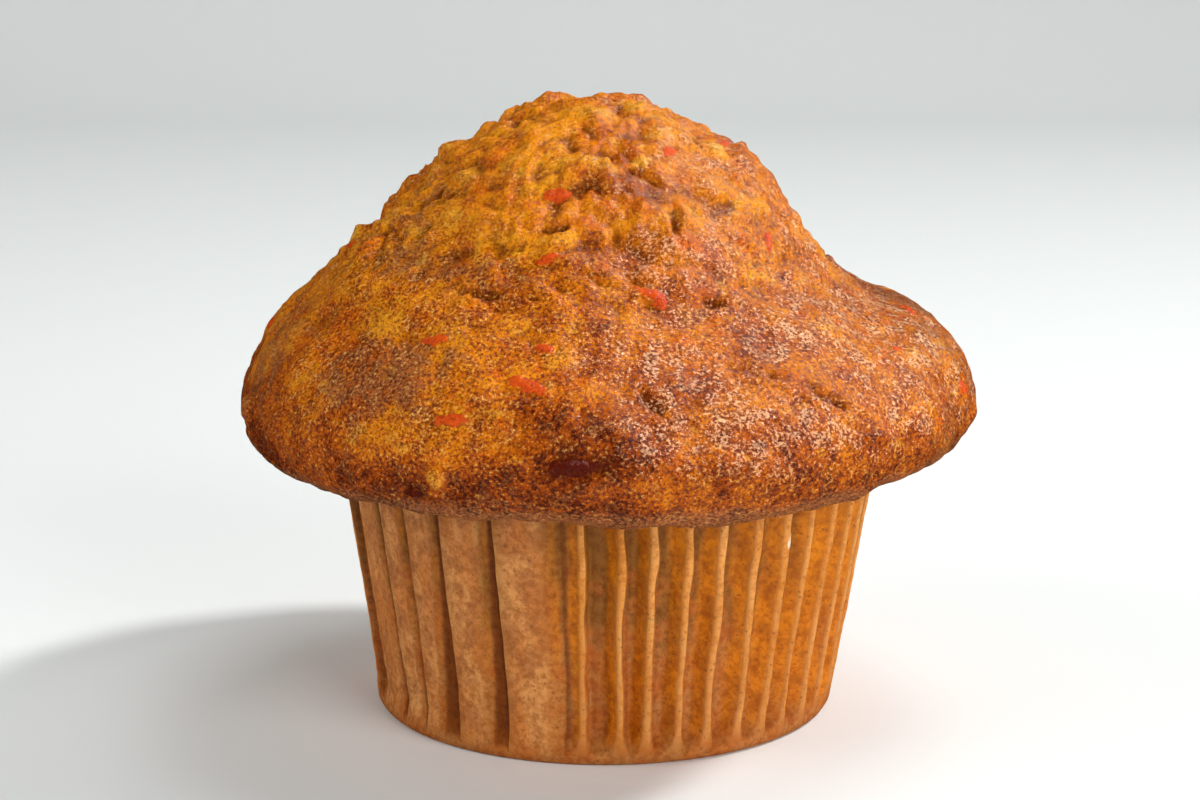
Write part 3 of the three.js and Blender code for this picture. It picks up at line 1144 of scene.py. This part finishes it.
class CaseSettings(bpy.types.PropertyGroup):
    base_radius: length("Base Radius", "Outside of the pleats at the floor", 0.0252)
    pleat_depth: length("Pleat Depth", "From a pleat's face to its groove", 0.0015)
    thickness: length("Thickness", "Thickness of the paper", 0.00012)
    pleat_pitch: number("Pleat Pitch", "Degrees from one pleat to the next", 7.8, 1)
    pleat_width: number("Pleat Width", "Degrees across a pleat's face", 1.45, 0.1)
    # Face also colours the painted highlights along the pressed pleats' edges.
    face: colour("Face", "Paper on the pleats' faces", (0.92, 0.40, 0.10))
    face_stained: colour("Stained Face", "Stained paper on the faces", (0.82, 0.30, 0.045))
    # Painted glow: light through the pleats' sloping sides, over lighter and over darker cake.
    side: colour("Side", "Soaked paper with light behind it", (0.86, 0.26, 0.005))
    side_brown: colour("Brown Side", "Soaked paper on darker cake", (0.56, 0.15, 0.004))
    # Fold is painted shade in the folds and at the grooves' bottoms.
    fold: colour("Fold", "Deep folds between pressed pleats", (0.22, 0.05, 0.003))
    panel: colour("Panel", "Paper of the pressed pleats", (0.78, 0.34, 0.10))
    panel_red: colour("Red Panel", "Pressed paper on redder cake", (0.68, 0.23, 0.05))
    panel_dark: colour("Dark Panel", "Pressed paper on darker cake", (0.50, 0.17, 0.045))
    groove: colour("Groove", "Paper lying on the cake", (0.52, 0.20, 0.05))
    groove_red: colour("Red Groove", "Paper lying on redder cake", (0.52, 0.15, 0.024))
    # Dark Groove is darker paper plus painted shadow under the crown's overhang, strongest at the
    # top.
    groove_dark_shadowed: colour("Dark Groove", "Paper lying on darker cake", (0.28, 0.10, 0.010))
    mottle: colour("Mottle", "Tint of the paper's darker mottling", (0.72, 0.60, 0.46))
    speck: colour("Speck", "Crumbs that show through the paper", (0.17, 0.045, 0.012))
    dry: colour("Dry", "Paper that has stayed dry", (0.92, 0.72, 0.50))


class StageSettings(bpy.types.PropertyGroup):
    floor: colour("Floor", "The pale floor", (0.87, 0.90, 0.895))
    key_power: number("Key Power", "Softbox overhead", 0.6, unit="POWER")
    side_power: number("Side Power", "Softbox behind on the right", 1.1, unit="POWER")
    right_power: number("Right Power", "Softbox in front on the right", 4.0, unit="POWER")
    left_power: number("Left Power", "Softbox on the left", 2.3, unit="POWER")
    ambient: number("Ambient", "Strength of the light from all round", 0.06)


class MUFFIN_OT_add_cake(bpy.types.Operator):
    """Add the muffin's cake, with its rough peaked crown"""

    bl_idname = "muffin.add_cake"
    bl_label = "Add Cake"

    def execute(self, context):
        settings = context.scene.muffin_cake
        show(cake_mesh(settings), crust_material(settings), "muffin")
        return {"FINISHED"}


class MUFFIN_OT_add_paper_case(bpy.types.Operator):
    """Add the pleated paper case that the cake was baked in"""

    bl_idname = "muffin.add_paper_case"
    bl_label = "Add Paper Case"

    def execute(self, context):
        settings = context.scene.muffin_case
        piece = show(case_mesh(settings), paper_material(settings), "paper_case")
        shell = piece.modifiers.new("paper thickness", "SOLIDIFY")
        shell.thickness = settings.thickness
        shell.offset = -1
        return {"FINISHED"}


class MUFFIN_OT_add_stage(bpy.types.Operator):
    """Add the pale floor, the backdrop, the soft lights and the camera"""

    bl_idname = "muffin.add_stage"
    bl_label = "Add Stage"

    def execute(self, context):
        settings = context.scene.muffin_stage
        floor = show(sheet_mesh(), floor_material(settings))
        floor.visible_glossy = False
        for name, *softbox in SOFTBOXES:
            add_softbox(name, *softbox, getattr(settings, f"{name}_power"))
        add_world(settings.ambient)
        context.scene.view_settings.view_transform = "Standard"
        add_camera()
        return {"FINISHED"}


class MUFFIN_PT_panel(bpy.types.Panel):
    bl_label = "Muffin"
    bl_idname = "MUFFIN_PT_panel"
    bl_space_type = "VIEW_3D"
    bl_region_type = "UI"
    bl_category = "Muffin"

    def draw(self, context):
        scene = context.scene
        for operator, settings in (
            ("muffin.add_cake", scene.muffin_cake),
            ("muffin.add_paper_case", scene.muffin_case),
            ("muffin.add_stage", scene.muffin_stage),
        ):
            box = self.layout.box()
            box.operator(operator)
            for name in settings.__annotations__:
                box.prop(settings, name)


SETTINGS = {"muffin_cake": CakeSettings, "muffin_case": CaseSettings, "muffin_stage": StageSettings}
CLASSES = (
    *SETTINGS.values(),
    MUFFIN_OT_add_cake,
    MUFFIN_OT_add_paper_case,
    MUFFIN_OT_add_stage,
    MUFFIN_PT_panel,
)


def register():
    for kind in CLASSES:
        bpy.utils.register_class(kind)
    for name, kind in SETTINGS.items():
        setattr(bpy.types.Scene, name, bpy.props.PointerProperty(type=kind))


def unregister():
    for name in SETTINGS:
        delattr(bpy.types.Scene, name)
    for kind in reversed(CLASSES):
        bpy.utils.unregister_class(kind)


def main():
    register()
    bpy.ops.muffin.add_stage()
    bpy.ops.muffin.add_paper_case()
    bpy.ops.muffin.add_cake()


if __name__ == "__main__":
    main()
